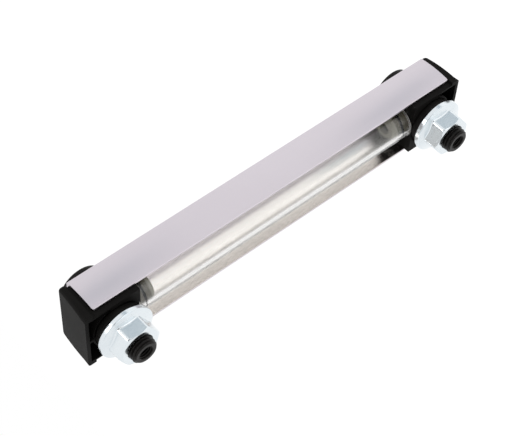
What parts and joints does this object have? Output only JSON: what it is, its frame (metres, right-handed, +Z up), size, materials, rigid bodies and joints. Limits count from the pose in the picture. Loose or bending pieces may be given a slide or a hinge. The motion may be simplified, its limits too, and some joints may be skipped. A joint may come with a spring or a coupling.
{
  "type": "tank level gauge",
  "caption": "Tank level gauge with a clear sight tube between two black end blocks, an aluminium cover, hollow bolts, seals and flange nuts.",
  "frame": {"origin": "midway between the two bolt axes, on the outer face of the tank wall", "axes": "+Z up along the gauge, +Y through the wall into the tank, +X to the right seen from the front"},
  "size_m": [0.033, 0.0437, 0.2078],
  "materials": {
    "anodised_aluminium": "satin anodised",
    "black_nylon": "glass-filled moulding, matt",
    "clear_tube": "clear, polished",
    "nitrile_rubber": "matt",
    "black_steel": "black finish, satin",
    "zinc_steel": "bright zinc plate"
  },
  "bodies": {
    "root": {"cover_channel": "anodised_aluminium", "sight_tube": "clear_tube", "upper_end_block": "black_nylon", "upper_tube_seal": "nitrile_rubber", "upper_hollow_bolt": "black_steel", "upper_head_seal": "nitrile_rubber", "upper_wall_seal": "nitrile_rubber", "upper_flange_nut": "zinc_steel", "lower_end_block": "black_nylon", "lower_tube_seal": "nitrile_rubber", "lower_hollow_bolt": "black_steel", "lower_head_seal": "nitrile_rubber", "lower_wall_seal": "nitrile_rubber", "lower_flange_nut": "zinc_steel"}
  },
  "joints": []
}
